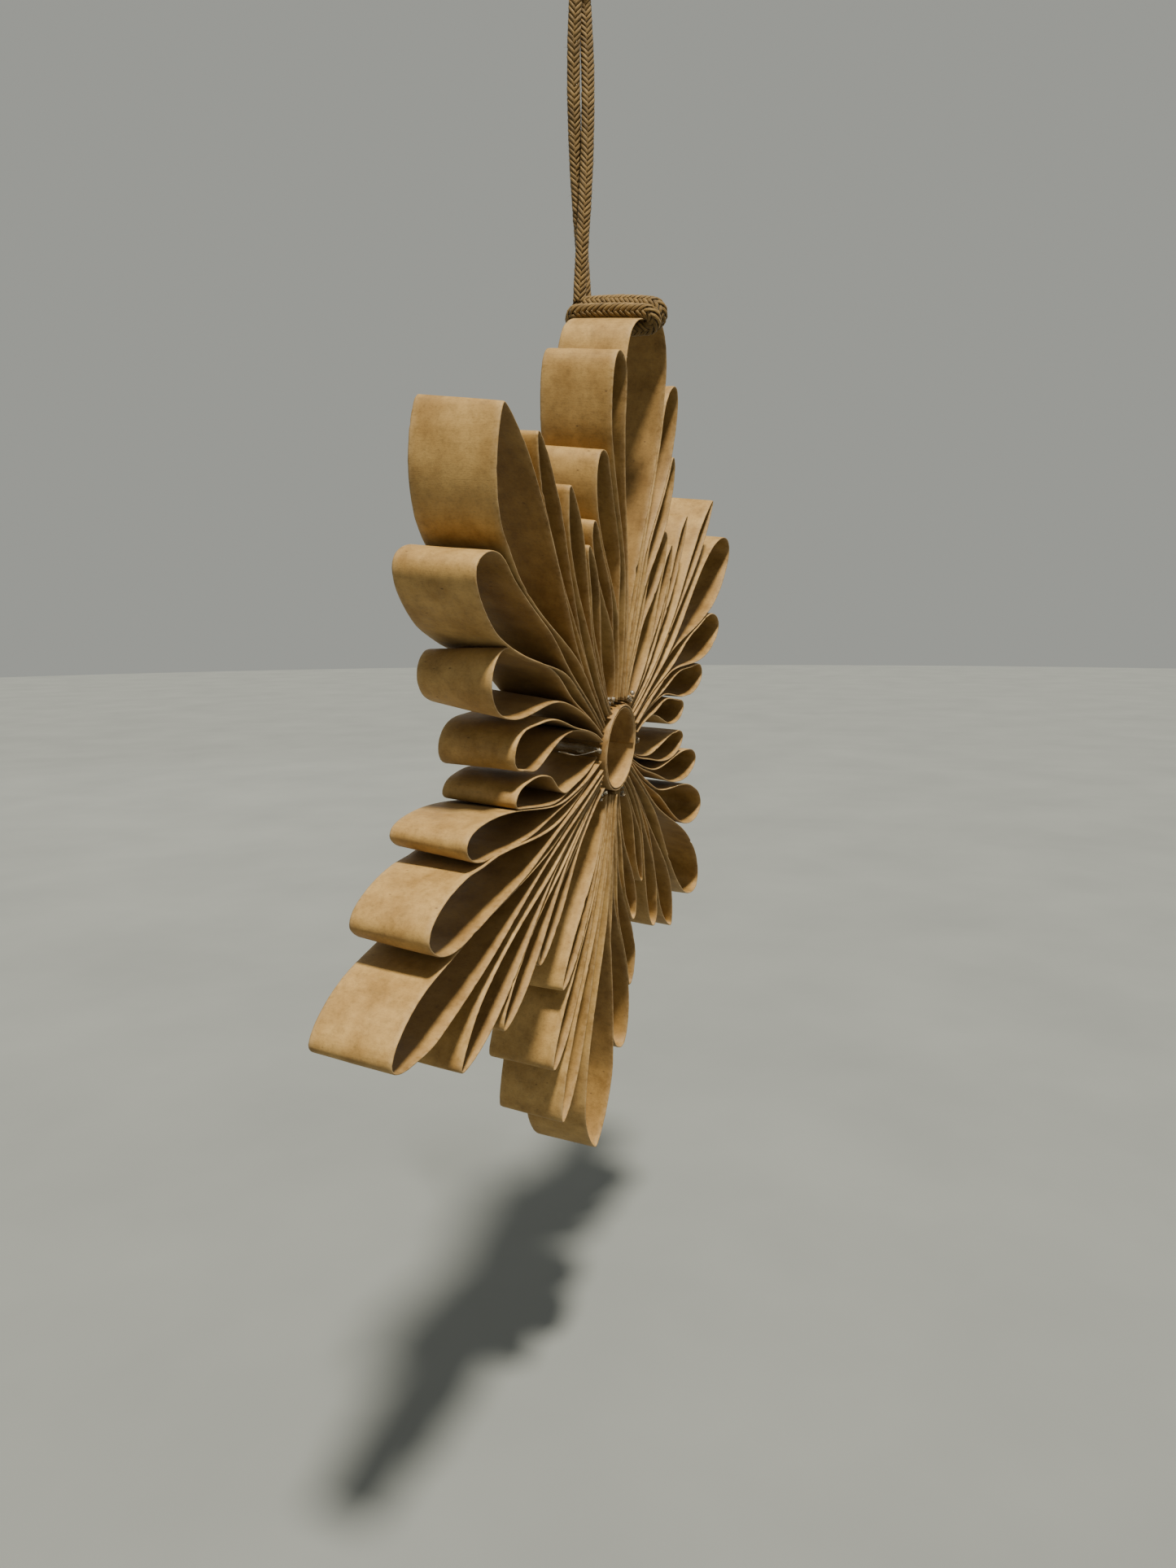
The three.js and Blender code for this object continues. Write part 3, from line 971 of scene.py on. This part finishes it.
def add_web(vertices, faces, start, end, seed):
    """A film of glue drawn out between two points: ragged, and thinnest in its middle."""
    first = len(vertices)
    start, end = np.array(start), np.array(end)
    for ring in range(GLUE_RINGS):
        t = ring / (GLUE_RINGS - 1)
        middle = start + (end - start) * t
        middle[2] -= WEB_SAG * math.sin(math.pi * t)
        narrow = 1 - 0.6 * math.sin(math.pi * t) + 0.5 * noise.noise(Vector((t * 6, seed, 0)))
        for angle in ring_angles():
            depth = WEB_THICK[0] * narrow * math.cos(angle)
            rise = WEB_THICK[1] * narrow * math.sin(angle)
            vertices.append(middle + np.array((0, depth, rise)))
    faces += tube_faces(GLUE_RINGS, GLUE_SIDES, first)


def add_glue(node, number):
    """Glue squeezed into a corner: a lumpy bead, drops of it at the front, and a web in one corner."""
    low, high = (np.array(corner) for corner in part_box(node))
    middle = to_star([(low + high) / 2])[0]
    out = unit(np.array((middle[0], 0, middle[2])))
    chance = random.Random(40 + number)
    vertices, faces = [], []
    add_bead(vertices, faces, middle, number)
    for _ in range(DROPS):
        place = middle + out * chance.uniform(*DROP_OUT) * MM
        place[1] = chance.uniform(*DROP_DEPTH) * MM
        place[0] += chance.uniform(*DROP_ASIDE) * MM
        reach = [chance.uniform(*DROP_REACH) * MM for _ in range(3)]
        add_drop(vertices, faces, place, reach, chance.uniform(0, 90))
    if number == WEB_CORNER:
        start = middle + out * 0.5 * MM
        start[1] = WEB_DEPTH * MM
        end = start + np.array(WEB_REACH) * MM
        add_web(vertices, faces, start, end, 5)
        add_drop(vertices, faces, start + (end - start) * 0.45, WEB_LUMP, 3)
    piece = new_piece(f"{node}_set", from_star(vertices), faces, glue)
    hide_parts(node)
    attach(piece, "star")


# ---------------------------------------------------------------- stage

FLOOR_BELOW = 0.07
FLOOR_RADIUS = 4.0
FLOOR_TONES = [(0.3, (0.166, 0.177, 0.171)), (0.7, (0.19, 0.202, 0.195))]


def add_stage():
    """A plain pale floor, a little below the star."""
    place = (0, 0, cad_box[0][2] - FLOOR_BELOW)
    bpy.ops.mesh.primitive_circle_add(
        vertices=96, radius=FLOOR_RADIUS, fill_type="NGON", location=place)
    floor = bpy.context.object
    floor.name = "floor"
    material, tree, shader = material_nodes("floor_plaster")
    coordinates = tree.nodes.new("ShaderNodeTexCoord")
    tone = noise_node(tree, coordinates.outputs["Object"], 9.0, 4.0)
    tree.links.new(ramp(tree, tone, FLOOR_TONES), shader.inputs["Base Color"])
    shader.inputs["Roughness"].default_value = 0.8
    floor.data.materials.append(material)


# The key light is a warm sun, high up and a little to the left and front; the rest are fainter
KEY_WAY = (-0.4, -0.33, 1.15)
KEY_COLOUR = (1.0, 0.94, 0.81)
KEY_ENERGY = 7.2
KEY_WIDTH = math.radians(7)
BACK_WAY = (0.9, 0.9, 0.5)
BACK_COLOUR = (1.0, 0.97, 0.93)
BACK_ENERGY = 1.5
BACK_SIZE = 1.0
ROOM_COLOUR = (0.57, 0.58, 0.53, 1)
ROOM_STRENGTH = 0.62


def add_light(data, name, way, colour):
    """A light in the direction `way` from the hub, turned to face it."""
    data.color = colour
    light = bpy.data.objects.new(name, data)
    light.location = Vector(hub_middle) + Vector(way)
    light.rotation_euler = (-Vector(way)).to_track_quat("-Z", "Y").to_euler()
    bpy.context.scene.collection.objects.link(light)


def add_lights():
    """A sun for the key light, a weak disk behind the star, and even light from the room."""
    key = bpy.data.lights.new("key", "SUN")
    key.energy = KEY_ENERGY
    key.angle = KEY_WIDTH
    add_light(key, "key", KEY_WAY, KEY_COLOUR)
    back = bpy.data.lights.new("back", "AREA")
    back.shape = "DISK"
    back.size = BACK_SIZE
    back.energy = BACK_ENERGY
    add_light(back, "back", BACK_WAY, BACK_COLOUR)
    world = bpy.data.worlds.new("studio")
    world.use_nodes = True
    background = world.node_tree.nodes["Background"]
    background.inputs["Color"].default_value = ROOM_COLOUR
    background.inputs["Strength"].default_value = ROOM_STRENGTH
    bpy.context.scene.world = world


# ---------------------------------------------------------------- the whole scene

add_camera()
add_cords()
add_loops()
add_hub()
for corner in range(1, 7):
    add_glue(f"glue_bead_{corner}", corner)
add_stage()
add_lights()
